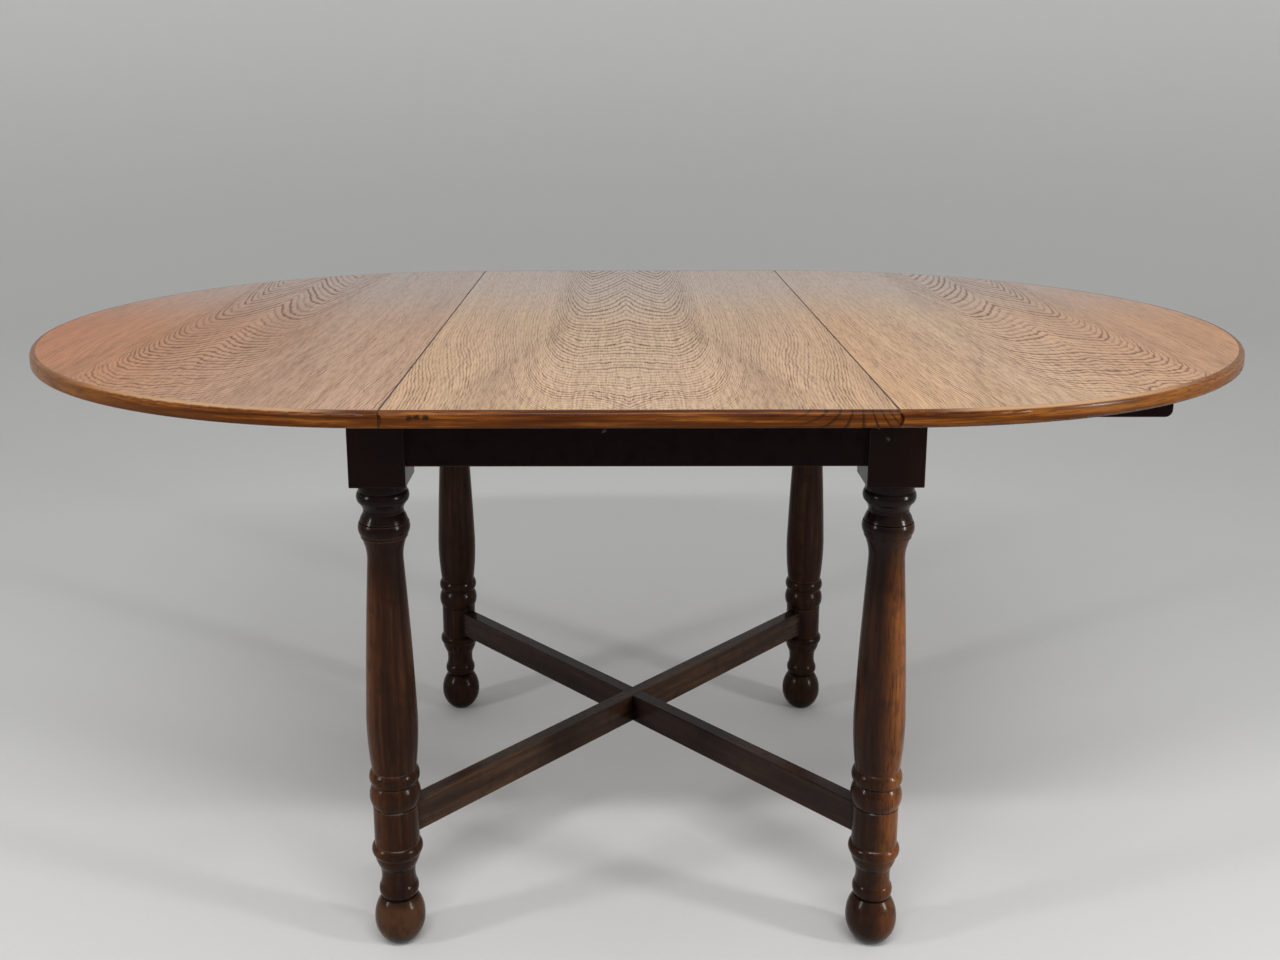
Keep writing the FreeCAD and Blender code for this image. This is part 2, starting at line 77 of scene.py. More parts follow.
# %% Finish helper
class Finish:
    """One finish in the making. Each call lays down a shader node and returns what it puts out."""

    def __init__(self, name):
        self.material = bpy.data.materials.new(name)
        self.material.use_nodes = True
        self.tree = self.material.node_tree
        self.shader = self.tree.nodes["Principled BSDF"]

    def feed(self, socket, value):
        if isinstance(value, bpy.types.NodeSocket):
            self.tree.links.new(value, socket)
        else:
            socket.default_value = value

    def node(self, kind, inputs=(), **settings):
        made = self.tree.nodes.new("ShaderNode" + kind)
        for setting, value in settings.items():
            setattr(made, setting, value)
        for socket, value in dict(inputs).items():
            self.feed(made.inputs[socket], value)
        return made

    def place(self):
        """Where the point lies on its piece, in the table's own metres."""
        return self.node("TexCoord").outputs["Object"]

    def split(self, vector):
        return self.node("SeparateXYZ", {0: vector}).outputs

    def join(self, x, y, z):
        return self.node("CombineXYZ", {0: x, 1: y, 2: z}).outputs[0]

    def math(self, operation, *values):
        return self.node("Math", dict(enumerate(values)), operation=operation).outputs[0]

    def plus(self, first, second):
        return self.math("ADD", first, second)

    def minus(self, first, second):
        return self.math("SUBTRACT", first, second)

    def times(self, first, second):
        return self.math("MULTIPLY", first, second)

    def unsigned(self, value):
        return self.math("ABSOLUTE", value)

    def weigh(self, *pairs):
        """Sum of values, each times its weight."""
        total = 0.0
        for value, weight in pairs:
            total = self.math("MULTIPLY_ADD", value, weight, total)
        return total

    def vector_math(self, operation, first, second):
        return self.node("VectorMath", {0: first, 1: second}, operation=operation).outputs

    def noise(self, vector, scales, detail=2.0, roughness=0.5):
        """Soft noise with so many waves to the metre along each axis of the vector."""
        scaled = self.vector_math("MULTIPLY", vector, scales)["Vector"]
        inputs = {"Vector": scaled, "Scale": 1.0, "Detail": detail, "Roughness": roughness}
        return self.node("TexNoise", inputs).outputs["Fac"]

    def spread(self, value, low, high, to_low=0.0, to_high=1.0, smooth=True):
        """Lay the range low to high on the range to_low to to_high, and hold it outside."""
        inputs = {"Value": value, "From Min": low, "From Max": high, "To Min": to_low,
                  "To Max": to_high}
        style = "SMOOTHSTEP" if smooth else "LINEAR"
        return self.node("MapRange", inputs, interpolation_type=style).outputs["Result"]

    def ramp(self, value, *stops):
        """Colours along a scale. A stop is (place, colour)."""
        made = self.node("ValToRGB", {"Fac": value})
        elements = made.color_ramp.elements
        for element, (at, colour) in zip(elements, (stops[0], stops[-1])):
            element.position = at
            element.color = (*colour, 1)
        for at, colour in stops[1:-1]:
            elements.new(at).color = (*colour, 1)
        return made.outputs["Color"]

    def blend(self, share, first, second):
        """The first colour, with a share of the second in it."""
        made = self.node("Mix", data_type="RGBA")
        for slot, value in ((0, share), (6, first), (7, second)):
            self.feed(made.inputs[slot], (*value, 1) if isinstance(value, tuple) else value)
        return made.outputs[2]

    def polish(self, colour, roughness, height, depth, **sockets):
        """Send the colour, gloss and relief to the shader. Depth is the relief's size in metres."""
        self.feed(self.shader.inputs["Base Color"], colour)
        self.feed(self.shader.inputs["Roughness"], roughness)
        bump = self.node("Bump", {"Height": height, "Distance": depth, "Strength": 1.0})
        self.feed(self.shader.inputs["Normal"], bump.outputs["Normal"])
        for socket, value in sockets.items():
            self.feed(self.shader.inputs[socket.replace("_", " ")], value)
        return self.material


def dress(material, *names):
    for name in names:
        nodes[name].data.materials.clear()
        nodes[name].data.materials.append(material)
    print(f"{material.name}: {len(names)} pieces")


print("the helper for finishes is ready")

# %% [markdown]
# ## Growth rings
# The three boards carry sliced oak from one log, laid as mirrored pairs of sheets. Each sheet shows a
# column of arches, whose flanks run on into straight grain. An image of oak would repeat and blur up
# close, so the rings are counted by a formula instead: a ring is a dark line wherever the count
# passes a whole number. Along the column the count follows the length of the board, and lags behind
# on either side of the arch's axis: in a round curve at the front, where the rings crowd, and in a
# sharp one at the back. Nearest the front the curve inside the axis turns over.

# %% Rings in a column of arches
ARCH_AXIS = 0.056
AXIS_BLEND = (-0.006, 0.006)
ARCH_TURN = (-0.56, -0.08)
CURVE_OPENS = (-0.05, -0.45)
INNER_CURVE = 16
OUTER_CURVE_MIDDLE = 72
OUTER_CURVE_FRONT = 24
ARCH_LENGTHENS = (-0.10, 0.45)
ARCH_SHARPENS = (-0.05, 0.30)
INNER_SHARPNESS = 1.7
OUTER_SHARPNESS = 3.2
EVEN_RINGS = 24
CROWDED_RINGS = 4.7
CROWDING = 3.6
LINE_DARKENS = (0.0, 0.14)
LINE_FADES = (0.62, 0.20)


def arch_count(finish, y, past_axis, wander):
    """Count of the rings along a column of arches. Past_axis is how far outside its axis the point
    lies. CURVE_OPENS, ARCH_SHARPENS and the like say where along y a change begins and ends."""
    def sides(inner, outer):
        return finish.spread(past_axis, *AXIS_BLEND, inner, outer)

    outer_curve = finish.spread(y, *CURVE_OPENS, OUTER_CURVE_MIDDLE, OUTER_CURVE_FRONT)
    rise = finish.times(finish.times(past_axis, past_axis), sides(INNER_CURVE, outer_curve))
    turned = finish.spread(y, *ARCH_TURN, -0.95, 1.0, smooth=False)
    way = finish.plus(sides(turned, 1.0), finish.spread(y, *ARCH_LENGTHENS, 0.0, 0.3))
    sharpness = finish.spread(y, *ARCH_SHARPENS, 0.0, sides(INNER_SHARPNESS, OUTER_SHARPNESS))
    point = finish.times(finish.unsigned(past_axis), sharpness)
    lag = finish.math("MULTIPLY_ADD", rise, way, point)
    along = finish.plus(finish.minus(y, lag), wander)
    crowding = finish.math("EXPONENT", finish.times(along, -CROWDING))
    return finish.weigh((along, EVEN_RINGS), (crowding, -CROWDED_RINGS))


def ring_lines(finish, count, seed):
    """A dark line in each ring, darker in some years than in others."""
    part = finish.math("FRACT", count)
    year = finish.plus(finish.math("FLOOR", count), seed)
    depth = finish.node("TexWhiteNoise", {"W": year}, noise_dimensions="1D").outputs["Value"]
    line = finish.times(finish.spread(part, *LINE_DARKENS), finish.spread(part, *LINE_FADES))
    return finish.times(line, finish.spread(depth, 0, 1, 0.40, 1.0))


print(f"arches {ARCH_AXIS * 1000:.0f} mm to either side of the joint of two sheets")

# %% [markdown]
# ## Two mirrored sheets
# A veneer maker opens two slices like a book, so the second is the mirror image of the first. Two
# patterns could be drawn, but it is less work to measure the distance from the joint and draw one.
# Outside the column of arches the count follows the width, leaning a little toward the front. Short
# dark pores lie along the whole sheet, and break the lines up.

# %% Sheets
SIDE_RING = 0.0037
SIDE_LEAN = 0.045
LEAN_GROWS = (0.0, -0.55)
SIDE_DARKENS = (0.2, -0.4)
COLUMN_GAIN = 0.085
COLUMN_WIDENS = (-0.05, -0.5)
ARCHES_END = (0.060, 0.032)
STRAIGHT_STARTS = (0.012, 0.040)
LAZY_WAVES = (12, 2.6, 1)
RIPPLE_WAVES = (80, 48, 1)
PORE_WAVES = (480, 30, 1)


def mirrored_sheets(finish, x, y, seam, seed):
    """A pair of sheets that meet at x = seam: (dark lines, pores, place on the sheet)."""
    out = finish.unsigned(finish.minus(x, seam))
    past_axis = finish.minus(out, ARCH_AXIS)
    sheet = finish.join(out, y, seed)
    lazy = finish.noise(sheet, LAZY_WAVES)
    ripple = finish.noise(sheet, RIPPLE_WAVES)
    pores = finish.spread(finish.noise(sheet, PORE_WAVES, 3.0, 0.65), 0.44, 0.62)

    wander = finish.weigh((lazy, 0.085), (ripple, 0.016))
    arches = ring_lines(finish, arch_count(finish, y, past_axis, wander), seed)
    sway = finish.weigh((lazy, 0.030), (ripple, 0.0042))
    leaning = finish.minus(out, finish.spread(y, *LEAN_GROWS, 0.0, -SIDE_LEAN))
    side_count = finish.math("DIVIDE", finish.plus(leaning, sway), SIDE_RING)
    straight = ring_lines(finish, side_count, seed)

    past_column = finish.minus(past_axis, finish.spread(y, *COLUMN_WIDENS, 0.0, COLUMN_GAIN))
    arches = finish.times(arches, finish.spread(past_column, *ARCHES_END))
    straight = finish.times(straight, finish.spread(past_column, *STRAIGHT_STARTS))
    straight = finish.times(straight, finish.spread(y, *SIDE_DARKENS, 0.40, 0.80))
    rings = finish.math("MAXIMUM", arches, straight)
    return finish.times(rings, finish.spread(pores, 0, 1, 0.72, 1.0)), pores, sheet


print(f"straight grain of {SIDE_RING * 1000:.1f} mm to a ring")

# %% [markdown]
# ## The top's veneer
# Years of light have given each board its own shades from left to right, and toward the back a painted
# reflection of the pale wall greys the brown. One flat colour would look like printed film, so the
# ground is a row of shades with soft clouds and streaks in it, and the rings lie on top. Dirt gathers
# where the boards meet.

# %% Veneer
JOINT_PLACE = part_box("leaf_left_strip")[0].x * -1
JOINT_DIRT = (0.030, 0.012, 0.005)
JOINT_REACH = (0.0018, 0.0006)
# Grey of the painted reflection of the pale wall, laid over the ground toward the back.
PAINTED_WALL_REFLECTION = (0.405, 0.372, 0.358)
WALL_REFLECTION_REACH = (-0.10, 0.45)
VENEER_RELIEF = 0.00010
LEFT_SEAM, LEAF_SEAM, RIGHT_SEAM = -0.5255, -0.009, 0.538
LEFT_SHADES = ((-0.79, (0.45, 0.145, 0.040)), (-0.60, (0.43, 0.188, 0.075)),
               (-0.40, (0.42, 0.260, 0.166)), (-0.26, (0.48, 0.295, 0.188)))
LEAF_SHADES = ((-0.26, (0.55, 0.340, 0.185)), (0.0, (0.56, 0.385, 0.240)),
               (0.26, (0.55, 0.335, 0.180)))
RIGHT_SHADES = ((0.26, (0.58, 0.340, 0.170)), (0.42, (0.56, 0.375, 0.226)),
                (0.60, (0.53, 0.290, 0.152)), (0.79, (0.53, 0.250, 0.100)))


def veneer(name, seam, seed, shades, line, sheen=0.42):
    """Shades are the ground's colours across the board, each (x, colour). Line colours the rings."""
    finish = Finish(name)
    x, y, _ = finish.split(finish.place())
    rings, pores, sheet = mirrored_sheets(finish, x, y, seam, seed)
    first, last = shades[0][0], shades[-1][0]
    stops = [((at - first) / (last - first), colour) for at, colour in shades]
    colour = finish.ramp(finish.spread(x, first, last, smooth=False), *stops)
    clouds = finish.noise(sheet, (15, 1.3, 1), 3.0)
    colour = finish.blend(finish.spread(clouds, 0.40, 0.68, 0, 0.24), colour, line)
    streaks = finish.noise(sheet, (230, 4, 1))
    colour = finish.blend(finish.spread(streaks, 0.35, 0.75, 0, 0.30), colour, line)
    # painted reflection: the ground turns greyer toward the back
    colour = finish.blend(finish.spread(y, *WALL_REFLECTION_REACH, 0, 0.66), colour, PAINTED_WALL_REFLECTION)
    colour = finish.blend(finish.weigh((pores, 0.32), (rings, 1.0)), colour, line)
    from_joint = finish.unsigned(finish.minus(finish.unsigned(x), JOINT_PLACE))
    colour = finish.blend(finish.spread(from_joint, *JOINT_REACH, 0, 0.85), colour, JOINT_DIRT)
    roughness = finish.spread(rings, 0, 1, 0.33, 0.48)
    height = finish.weigh((pores, -0.4), (rings, -0.6))
    return finish.polish(colour, roughness, height, VENEER_RELIEF, Specular_IOR_Level=sheen)


dress(veneer("left_end_veneer", LEFT_SEAM, 1.3, LEFT_SHADES, (0.120, 0.043, 0.014), sheen=0.28),
      "left_end_board", "left_end_edge_strip")
dress(veneer("leaf_veneer", LEAF_SEAM, 4.1, LEAF_SHADES, (0.105, 0.040, 0.012)),
      "leaf_board", "leaf_left_strip", "leaf_right_strip")
dress(veneer("right_end_veneer", RIGHT_SEAM, 7.7, RIGHT_SHADES, (0.128, 0.050, 0.016)),
      "right_end_board", "right_end_edge_strip")

# %% [markdown]
# ## Marks on the front lipping
# Solid oak strips, the lippings, cover the edges of the boards. The one in front of the leaf has three
# small knots near its left end, and a fan of steep growth rings near its right end. These could be
# painted on an image, but as distances and one more ring count they stay sharp up close.

# %% Knots and fan
TOP_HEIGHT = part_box("leaf_board")[1].z
BOARD_THICKNESS = 0.016
KNOTS = ((-0.227, 0.0070), (-0.220, 0.0060), (-0.211, 0.0065))
KNOT_LENGTHENING = 0.7
KNOT_EDGE = (0.0058, 0.0028)
RAGGEDNESS = 0.0035
FAN_START = 0.170
FAN_UPRIGHT = 0.236
FAN_LEAN = 0.33
FAN_BEND = 1.5
FAN_OVERHANG = 0.0055
FAN_RINGS = 54
FAN_CROWDING = 508


def knot_marks(finish, x, down, ragged):
    marks = 0.0
    for place, depth in KNOTS:
        across = finish.times(finish.minus(x, place), KNOT_LENGTHENING)
        below = finish.minus(down, depth)
        span = finish.math("SQRT", finish.plus(finish.times(across, across),
                                               finish.times(below, below)))
        knot = finish.spread(finish.plus(span, ragged), *KNOT_EDGE)
        marks = finish.math("MAXIMUM", marks, knot)
    return marks


def fan_strokes(finish, x, down, ragged):
    """Rings that lie flat at the fan's start, and steeper until they stand upright."""
    back = finish.minus(FAN_UPRIGHT, x)
    lean = finish.times(back, finish.math("MULTIPLY_ADD", back, FAN_BEND, FAN_LEAN))
    share_down = finish.math("DIVIDE", finish.plus(down, ragged), BOARD_THICKNESS)
    shift = finish.times(finish.minus(lean, FAN_OVERHANG), share_down)
    along = finish.minus(finish.plus(x, shift), FAN_START)
    count = finish.times(along, finish.math("MULTIPLY_ADD", along, FAN_CROWDING, FAN_RINGS))
    part = finish.math("FRACT", count)
    stroke = finish.times(finish.spread(part, 0.0, 0.12), finish.spread(part, 0.38, 0.16))
    return finish.times(stroke, finish.spread(x, FAN_START - 0.05, FAN_START + 0.02, 0, 0.85))


def front_marks(finish, x, z):
    """How dark the front lipping is where knots and steep growth rings come to its face."""
    down = finish.minus(TOP_HEIGHT, z)
    ragged = finish.times(finish.noise(finish.join(x, down, 0.0), (500, 700, 1)), RAGGEDNESS)
    return finish.math("MAXIMUM", knot_marks(finish, x, down, ragged),
                       fan_strokes(finish, x, down, ragged))


print(f"{len(KNOTS)} knots, and a fan from x = {FAN_START} m")

# %% [markdown]
# ## Lippings
# A bent rim goes round each end, and a straight strip along the front and the back of the leaf. Their
# grain runs along them, so on a rim it has to bend round. Unwrapping the rim onto an image would do
# it. Here the place on the rim is turned into a length along the curve before any streak is drawn,
# which needs no seams. The far ends of the rims are more golden, and beside the leaf a pale painted
# highlight runs along their top edge.

# %% Lippings
END_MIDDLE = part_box("left_end_edge_strip")[1].x
RIM_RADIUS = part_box("left_end_rim")[1].y
LIPPING_WIDTH = 0.007
LIPPING_RELIEF = 0.00001
GOLDEN_REACH = (0.34, 0.74)
# Where along the rims the top edge gets a painted highlight.
ARRIS_HIGHLIGHT_STARTS = (0.28, 0.36)
ARRIS_HIGHLIGHT_ENDS = (0.66, 0.48)
SHADOW_DROP = (0.004, 0.020)
ARRIS_DROP = (0.0030, 0.0014)
GLUE_REACH = (0.0016, 0.0004)
LIPPING_SHADES = ((0.34, (0.040, 0.0095, 0.0018)), (0.50, (0.098, 0.026, 0.0035)),
                  (0.66, (0.225, 0.076, 0.012)))
GOLDEN = (0.25, 0.094, 0.018)
# Colour of the painted highlight on the top arris.
PAINTED_ARRIS_HIGHLIGHT = (0.60, 0.39, 0.22)
LIPPING_PORE = (0.050, 0.015, 0.004)
LIPPING_SHADOW = (0.060, 0.019, 0.005)
MARK = (0.022, 0.008, 0.003)
GLUE = (0.045, 0.016, 0.007)


def lipping(name, flow, seed, marks=None):
    """Flow lays the grain: it returns (along, across, depth from the outer face)."""
    finish = Finish(name)
    x, y, z = finish.split(finish.place())
    along, across, depth = flow(finish, x, y)
    grain = finish.join(along, finish.plus(across, seed), z)
    streaks = finish.noise(grain, (7, 150, 190), 3.0, 0.55)
    pores = finish.noise(grain, (45, 800, 800), 2.0, 0.6)
    colour = finish.ramp(streaks, *LIPPING_SHADES)
    from_middle = finish.unsigned(x)
    colour = finish.blend(finish.spread(from_middle, *GOLDEN_REACH, 0, 0.50), colour, GOLDEN)
    colour = finish.blend(finish.spread(pores, 0.48, 0.64, 0, 0.7), colour, LIPPING_PORE)
    down = finish.minus(TOP_HEIGHT, z)
    colour = finish.blend(finish.spread(down, *SHADOW_DROP, 0, 0.45), colour, LIPPING_SHADOW)
    # painted highlight along the top arris beside the leaf
    highlight_reach = finish.times(finish.spread(from_middle, *ARRIS_HIGHLIGHT_STARTS),
                           finish.spread(from_middle, *ARRIS_HIGHLIGHT_ENDS))
    arris = finish.spread(down, *ARRIS_DROP, 0, 0.5)
    colour = finish.blend(finish.times(highlight_reach, arris), colour, PAINTED_ARRIS_HIGHLIGHT)
    if marks:
        colour = finish.blend(marks(finish, x, z), colour, MARK)
    from_glue = finish.minus(LIPPING_WIDTH, depth)
    colour = finish.blend(finish.spread(from_glue, *GLUE_REACH, 0, 0.25), colour, GLUE)
    roughness = finish.spread(pores, 0.4, 0.7, 0.22, 0.30)
    return finish.polish(colour, roughness, pores, LIPPING_RELIEF, Specular_IOR_Level=0.10)


def round_the_end(side):
    def flow(finish, x, y):
        out = finish.math("MULTIPLY_ADD", x, side, -abs(END_MIDDLE))
        reach = finish.math("SQRT", finish.plus(finish.times(out, out), finish.times(y, y)))
        along = finish.times(finish.math("ARCTAN2", y, out), RIM_RADIUS)
        return along, reach, finish.minus(RIM_RADIUS, reach)
    return flow


def along_the_leaf(finish, x, y):
    return x, y, finish.minus(RIM_RADIUS, finish.unsigned(y))


dress(lipping("left_rim_lipping", round_the_end(-1), 0.0), "left_end_rim")
dress(lipping("right_rim_lipping", round_the_end(1), 3.0), "right_end_rim")
dress(lipping("leaf_front_oak", along_the_leaf, 6.0, front_marks), "leaf_front_lipping")
dress(lipping("leaf_back_oak", along_the_leaf, 9.0), "leaf_back_lipping")

# %% [markdown]
# ## The lay of the grain
# Wood is strong along its grain, so a maker lays the grain along every leg, rail and bar. A finish can
# be drawn once and turned for each of them, instead of once for each direction. These functions turn
# the place on a piece so that its last coordinate runs along the wood.


# %% Lay of the grain
def upright(finish, place, seed):
    x, y, z = finish.split(place)
    return finish.join(x, finish.plus(y, seed), z)


def lengthwise(finish, place, seed):
    x, y, z = finish.split(place)
    return finish.join(y, finish.plus(z, seed), x)


def crosswise(finish, place, seed):
    x, y, z = finish.split(place)
    return finish.join(x, finish.plus(z, seed), y)


def along_the_bar(way):
    """Grain of a stretcher, which lies corner to corner."""
    angle = math.atan2(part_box("leg_back_right")[1].y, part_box("leg_back_right")[1].x) * way

    def lay(finish, place, seed):
        turned = finish.node("VectorRotate", {"Vector": place, "Angle": -angle},
                             rotation_type="Z_AXIS")
        return lengthwise(finish, turned.outputs[0], seed)
    return lay


print("grain can run upright, lengthwise, crosswise or along a bar")

# %% [markdown]
# ## Wear
# Hands and feet rub the stain off the edges of a table, and the grooves of its turning darken, partly
# with dirt and partly as painted shade.
# So the recipe needs to know two things about a point: how far it is tucked into a corner, and
# whether it lies on an edge. Both could be painted by hand. The shader can also find them, with its
# occlusion and bevel nodes, and then they fit any piece. A nick is a ragged pale spot at a given place.

# %% Wear
GROOVE_REACH = 0.022
EDGE_RADIUS = 0.0022
NICK_EDGE = (0.0058, 0.0036)
NICK_RAGGEDNESS = 0.006
BARE_NICK = (0.085, 0.075, 0.065)
GROOVE_DIRT_AND_SHADE = (0.004, 0.0025, 0.002)
RUBBED_EDGE = (0.17, 0.085, 0.042)


def nicked(finish, colour, nicks):
    for nick in nicks:
        apart = finish.vector_math("DISTANCE", finish.place(), nick)["Value"]
        ragged = finish.times(finish.noise(finish.place(), (500, 500, 300)), NICK_RAGGEDNESS)
        near = finish.spread(finish.plus(ragged, apart), *NICK_EDGE, 0, 0.7)
        colour = finish.blend(near, colour, BARE_NICK)
    return colour


def worn_and_shaded(finish, colour, patches):
    """Dirt and painted shade in the grooves, and stain rubbed off the edges that hands and feet can
    reach.
    """
    tucked = finish.node("AmbientOcclusion", {"Distance": GROOVE_REACH}, samples=6).outputs["AO"]
    # dirt and painted shade darken the grooves and corners that occlusion finds
    colour = finish.blend(finish.spread(tucked, 0.45, 0.96, 0.95, 0.0), colour, GROOVE_DIRT_AND_SHADE)
    eased = finish.node("Bevel", {"Radius": EDGE_RADIUS}, samples=4).outputs["Normal"]
    normal = finish.node("NewGeometry").outputs["Normal"]
    flat = finish.vector_math("DOT_PRODUCT", eased, normal)["Value"]
    rubbed = finish.times(finish.spread(flat, 0.985, 0.90),
                          finish.spread(patches, 0.38, 0.62, 0.2, 1.0))
    rubbed = finish.times(rubbed, finish.spread(tucked, 0.6, 0.95, 0.0, 0.5))
    return finish.blend(rubbed, colour, RUBBED_EDGE)


# The grooves hold dirt and painted shade.
print(f"wear on edges of {EDGE_RADIUS * 1000:.1f} mm, dirt in grooves of {GROOVE_REACH * 1000:.0f} mm")

# %% [markdown]
# ## Dark stain
# Legs, rails and stretchers are oak under a dark brown stain, with a thin lacquer below the blocks.
# Stain sinks into the open pores and takes unevenly, in streaks along the grain and in blotches. A
# single brown would look painted, so three shades of each stain are mixed by noise that is drawn out
# along the wood. Toward the top the legs go over into the near-black of the rails, partly as darker
# stain and partly as painted shade from the table top.

# %% Dark oak
BLOCK_BOTTOM = 0.604
# Heights where the legs darken toward the top: darker stain and painted shade from the table top.
STAIN_AND_SHADE_HEIGHTS = (0.43, 0.59)
LOWER_LEG_HEIGHTS = (0.37, 0.28)
PALE_HEIGHTS = (0.085, 0.16)
BALL_HEIGHTS = (0.066, 0.050)
PORE_RELIEF = -0.00003
RAIL_STAIN = ((0.004, 0.0022, 0.0021), (0.008, 0.0042, 0.0038), (0.017, 0.0085, 0.0065))
# Paler colour painted on the outer side of a front leg, as light falling from that side.
PAINTED_LIT_COLOUR = (0.200, 0.066, 0.016)
# Paler colour laid on the ball foot.
PALER_BALL = (0.078, 0.036, 0.017)


def dark_oak(name, lay, stain, seed, gloss=0.06, lacquer=0.12, painted_lit_side=None, ball_paling=0.0, nicks=()):
    """Stain is (deep, brown, light). The pale side is (from x, to x, share at first, share at last):
    painted light, a paler colour on the outer side of a leg. The ball setting says how far the ball
    foot is made paler, and nicks are the places of small knocks."""
    deep, brown, light = stain
    finish = Finish(name)
    grain = lay(finish, finish.place(), seed)
    streaks = finish.noise(grain, (120, 120, 5), 4.0, 0.60)
    patches = finish.noise(grain, (11, 11, 5))
    pores = finish.spread(finish.noise(grain, (620, 620, 24), 2.0, 0.6), 0.50, 0.68)
    x, _, z = finish.split(finish.place())

    tone = finish.weigh((patches, 0.3), (streaks, 0.7))
    colour = finish.ramp(tone, (0.36, deep), (0.52, brown), (0.66, light))
    # painted light: the outer side of a front leg is paled as if lit from that side
    if painted_lit_side:
        pale = finish.times(finish.spread(x, *painted_lit_side), finish.spread(streaks, 0.40, 0.60, 0.7, 1.0))
        pale = finish.times(pale, finish.spread(z, *PALE_HEIGHTS, 0.45, 1.0))
        colour = finish.blend(pale, colour, PAINTED_LIT_COLOUR)
    colour = finish.blend(finish.times(pores, 0.65), colour, deep)
    # toward the top the legs darken, partly darker stain and partly painted shade from the table top
    colour = finish.blend(finish.spread(z, *STAIN_AND_SHADE_HEIGHTS, 0, 0.97), colour, RAIL_STAIN[1])
    colour = finish.blend(finish.spread(z, *LOWER_LEG_HEIGHTS, 0, 0.20), colour, deep)
    # the ball foot is made paler
    if ball_paling:
        colour = finish.blend(finish.spread(z, *BALL_HEIGHTS, 0, ball_paling), colour, PALER_BALL)
    blotches = finish.noise(finish.place(), (70, 70, 45), 3.0)
    colour = finish.blend(finish.spread(blotches, 0.50, 0.66, 0, 0.40), colour, deep)
    colour = worn_and_shaded(finish, nicked(finish, colour, nicks), patches)

    roughness = finish.math("MULTIPLY_ADD", pores, 0.10, finish.spread(patches, 0.3, 0.7, 0.14, 0.22))
    coat = finish.spread(z, BLOCK_BOTTOM + 0.002, BLOCK_BOTTOM - 0.002, 0.0, lacquer)
    return finish.polish(colour, roughness, pores, PORE_RELIEF, Specular_IOR_Level=gloss,
                         Coat_Weight=coat, Coat_Roughness=0.17)


# Above this height the legs carry darker stain and painted shade from the table top.
print(f"stain is darkest above z = {STAIN_AND_SHADE_HEIGHTS[1]} m")

# %% [markdown]
# ## The dark base
# Each piece of the base came from its own plank, and no two planks take stain alike. One finish for all
# would look moulded, so each front leg, each bar, the back legs and the rails have a finish of their
# own. The front legs have painted light, a paler colour, on their outer sides, the left ball foot is
# made paler, and a few small nicks show near the top.

# %% Base
BLOCK_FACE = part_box("leg_front_right")[0].y
LEG_PLACE = sum(corner.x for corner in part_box("leg_front_right")) / 2
LEG_STAIN = ((0.010, 0.0038, 0.0022), (0.022, 0.0080, 0.0035), (0.044, 0.0158, 0.0055))
BACK_LEG_STAIN = ((0.010, 0.0044, 0.0030), (0.022, 0.0090, 0.0050), (0.042, 0.0170, 0.0080))
GOLDEN_BAR_STAIN = ((0.015, 0.0078, 0.0054), (0.034, 0.0172, 0.0098), (0.072, 0.0360, 0.0165))
DARK_BAR_STAIN = ((0.012, 0.0068, 0.0056), (0.024, 0.0126, 0.0094), (0.042, 0.0210, 0.0140))
BLOCK_NICKS = ((0.276, BLOCK_FACE, 0.677), (0.286, BLOCK_FACE, 0.663))
RAIL_NICK = (-0.0365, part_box("rail_front")[0].y, 0.672)
# Outer sides of the front legs that get painted light.
LEFT_PAINTED_LIGHT = (-LEG_PLACE, -LEG_PLACE - 0.025, 0.0, 0.30)
RIGHT_PAINTED_LIGHT = (LEG_PLACE - 0.010, LEG_PLACE + 0.022, 0.0, 1.0)
RAIL_GLOSS = 0.035

dress(dark_oak("front_left_dark_oak", upright, LEG_STAIN, 0.0, painted_lit_side=LEFT_PAINTED_LIGHT, ball_paling=0.60,
               lacquer=0.06), "leg_front_left")
dress(dark_oak("front_right_dark_oak", upright, LEG_STAIN, 1.0, painted_lit_side=RIGHT_PAINTED_LIGHT,
               nicks=BLOCK_NICKS), "leg_front_right")
dress(dark_oak("back_leg_dark_oak", upright, BACK_LEG_STAIN, 3.0, lacquer=0.02),
      "leg_back_left", "leg_back_right")
dress(dark_oak("long_rail_dark_oak", lengthwise, RAIL_STAIN, 2.0, RAIL_GLOSS, nicks=(RAIL_NICK,)),
      "rail_front", "rail_back")
dress(dark_oak("end_rail_dark_oak", crosswise, RAIL_STAIN, 4.0, RAIL_GLOSS), "rail_left", "rail_right")
dress(dark_oak("lower_notched_dark_oak", along_the_bar(1), GOLDEN_BAR_STAIN, 6.0),
      "stretcher_lower_notched")
dress(dark_oak("upper_notched_dark_oak", along_the_bar(-1), DARK_BAR_STAIN, 8.0),
      "stretcher_upper_notched")

# %% [markdown]
# ## Under the top
# The runners are stained dark like the base. The bearers that guide them and the stop pegs are bare
# wood, and the screws are steel. None of this shows much, but the table may be seen from below, and a
# plain colour there would look unfinished.

# %% Under the top
BARE_PORE = (0.10, 0.055, 0.028)


def bare_oak(name, lay, seed):
    finish = Finish(name)
    grain = lay(finish, finish.place(), seed)
    streaks = finish.noise(grain, (90, 90, 4), 4.0, 0.6)
    pores = finish.noise(grain, (700, 700, 26))
    colour = finish.ramp(streaks, (0.35, (0.20, 0.115, 0.058)), (0.65, (0.33, 0.21, 0.115)))
    colour = finish.blend(finish.spread(pores, 0.52, 0.7, 0, 0.5), colour, BARE_PORE)
    return finish.polish(colour, finish.spread(streaks, 0.3, 0.7, 0.55, 0.7), pores, 0.0002)


